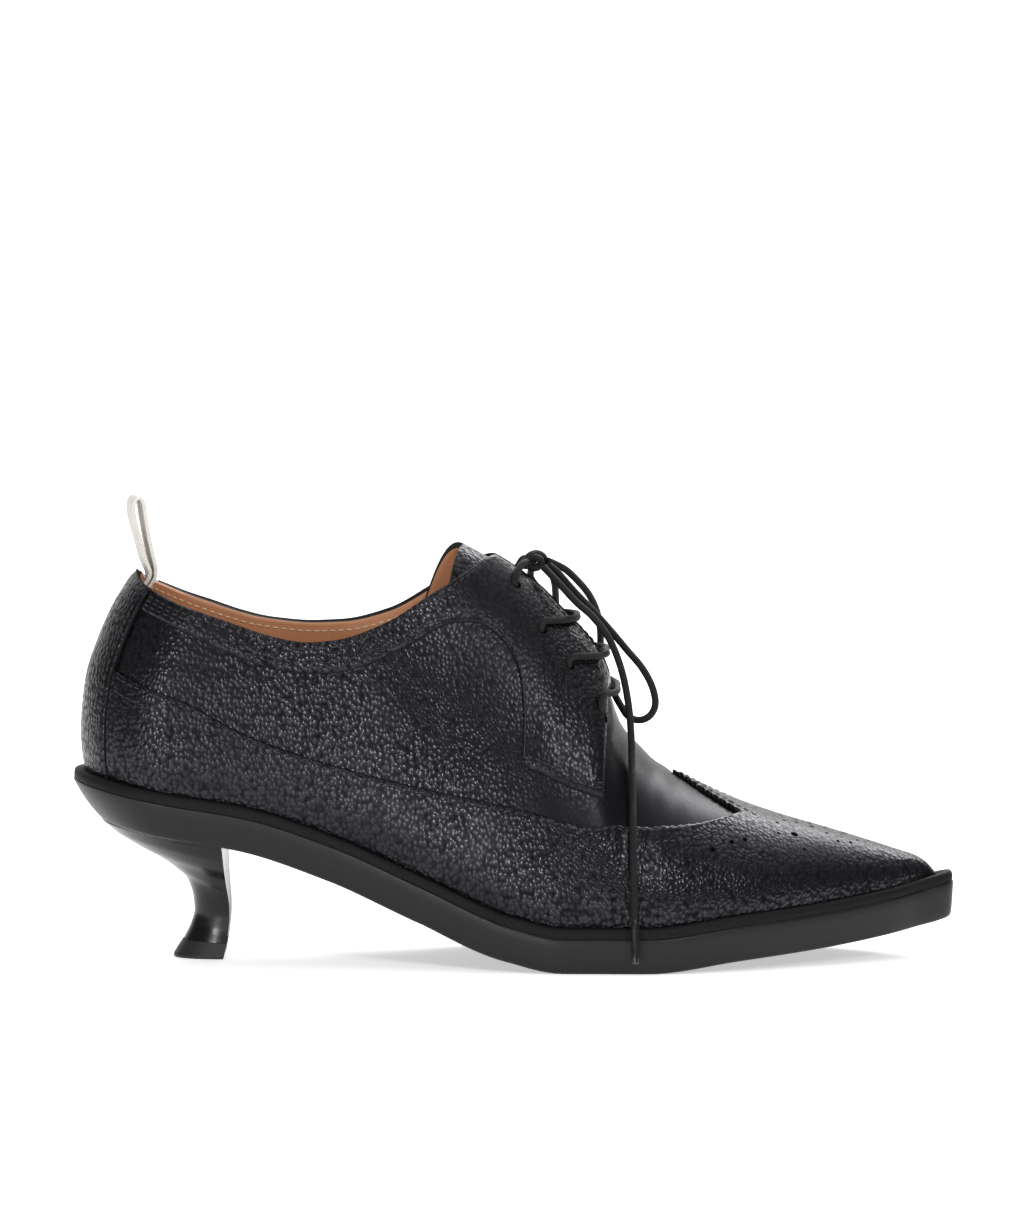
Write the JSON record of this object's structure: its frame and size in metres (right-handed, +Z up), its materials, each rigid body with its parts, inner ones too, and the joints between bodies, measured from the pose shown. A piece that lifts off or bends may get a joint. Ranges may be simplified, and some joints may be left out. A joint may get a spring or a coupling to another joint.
{
  "type": "low-heeled lace-up brogue shoe",
  "caption": "Pointed lace-up wingtip shoe for the right foot, with hollow leather upper, welted sole, curved low heel, tied lace and heel pull loop.",
  "frame": {"origin": "middle of the outsole's plan box, on the floor that the forefoot tread and the heel tread stand on", "axes": "+X to the toe, +Y to the inner side of the foot, +Z up"},
  "size_m": [0.27, 0.0919, 0.1415],
  "materials": {
    "sole": "dark edge-dressed sole leather, satin",
    "heel": "black lacquered heel block, glossy",
    "tread": "black moulded top piece, satin",
    "welt": "black bevelled welt strip, satin",
    "lining": "tan smooth lining leather",
    "upper": "black pebble-grain leather, semi-gloss",
    "lace": "black waxed round cotton lace",
    "lace_tip": "black sleeve tip",
    "tape": "plain off-white ribbed tape"
  },
  "bodies": {
    "root": {"outsole": "sole", "heel": "heel", "heel_top_piece": "tread", "welt": "welt", "insole": "lining", "upper": "upper", "wing_overlay": "upper", "facing_lateral": "upper", "facing_medial": "upper", "back_panel": "upper", "tongue": "upper", "lace_bar_2": "lace", "lace_bar_3": "lace", "lace_bar_4": "lace", "lace_top_lateral": "lace", "lace_top_medial": "lace", "lace_knot": "lace", "lace_loop_lateral": "lace", "lace_loop_medial": "lace", "lace_end_lateral": "lace", "lace_end_medial": "lace", "aglet_lateral": "lace_tip", "aglet_medial": "lace_tip", "pull_loop": "tape"}
  },
  "joints": []
}
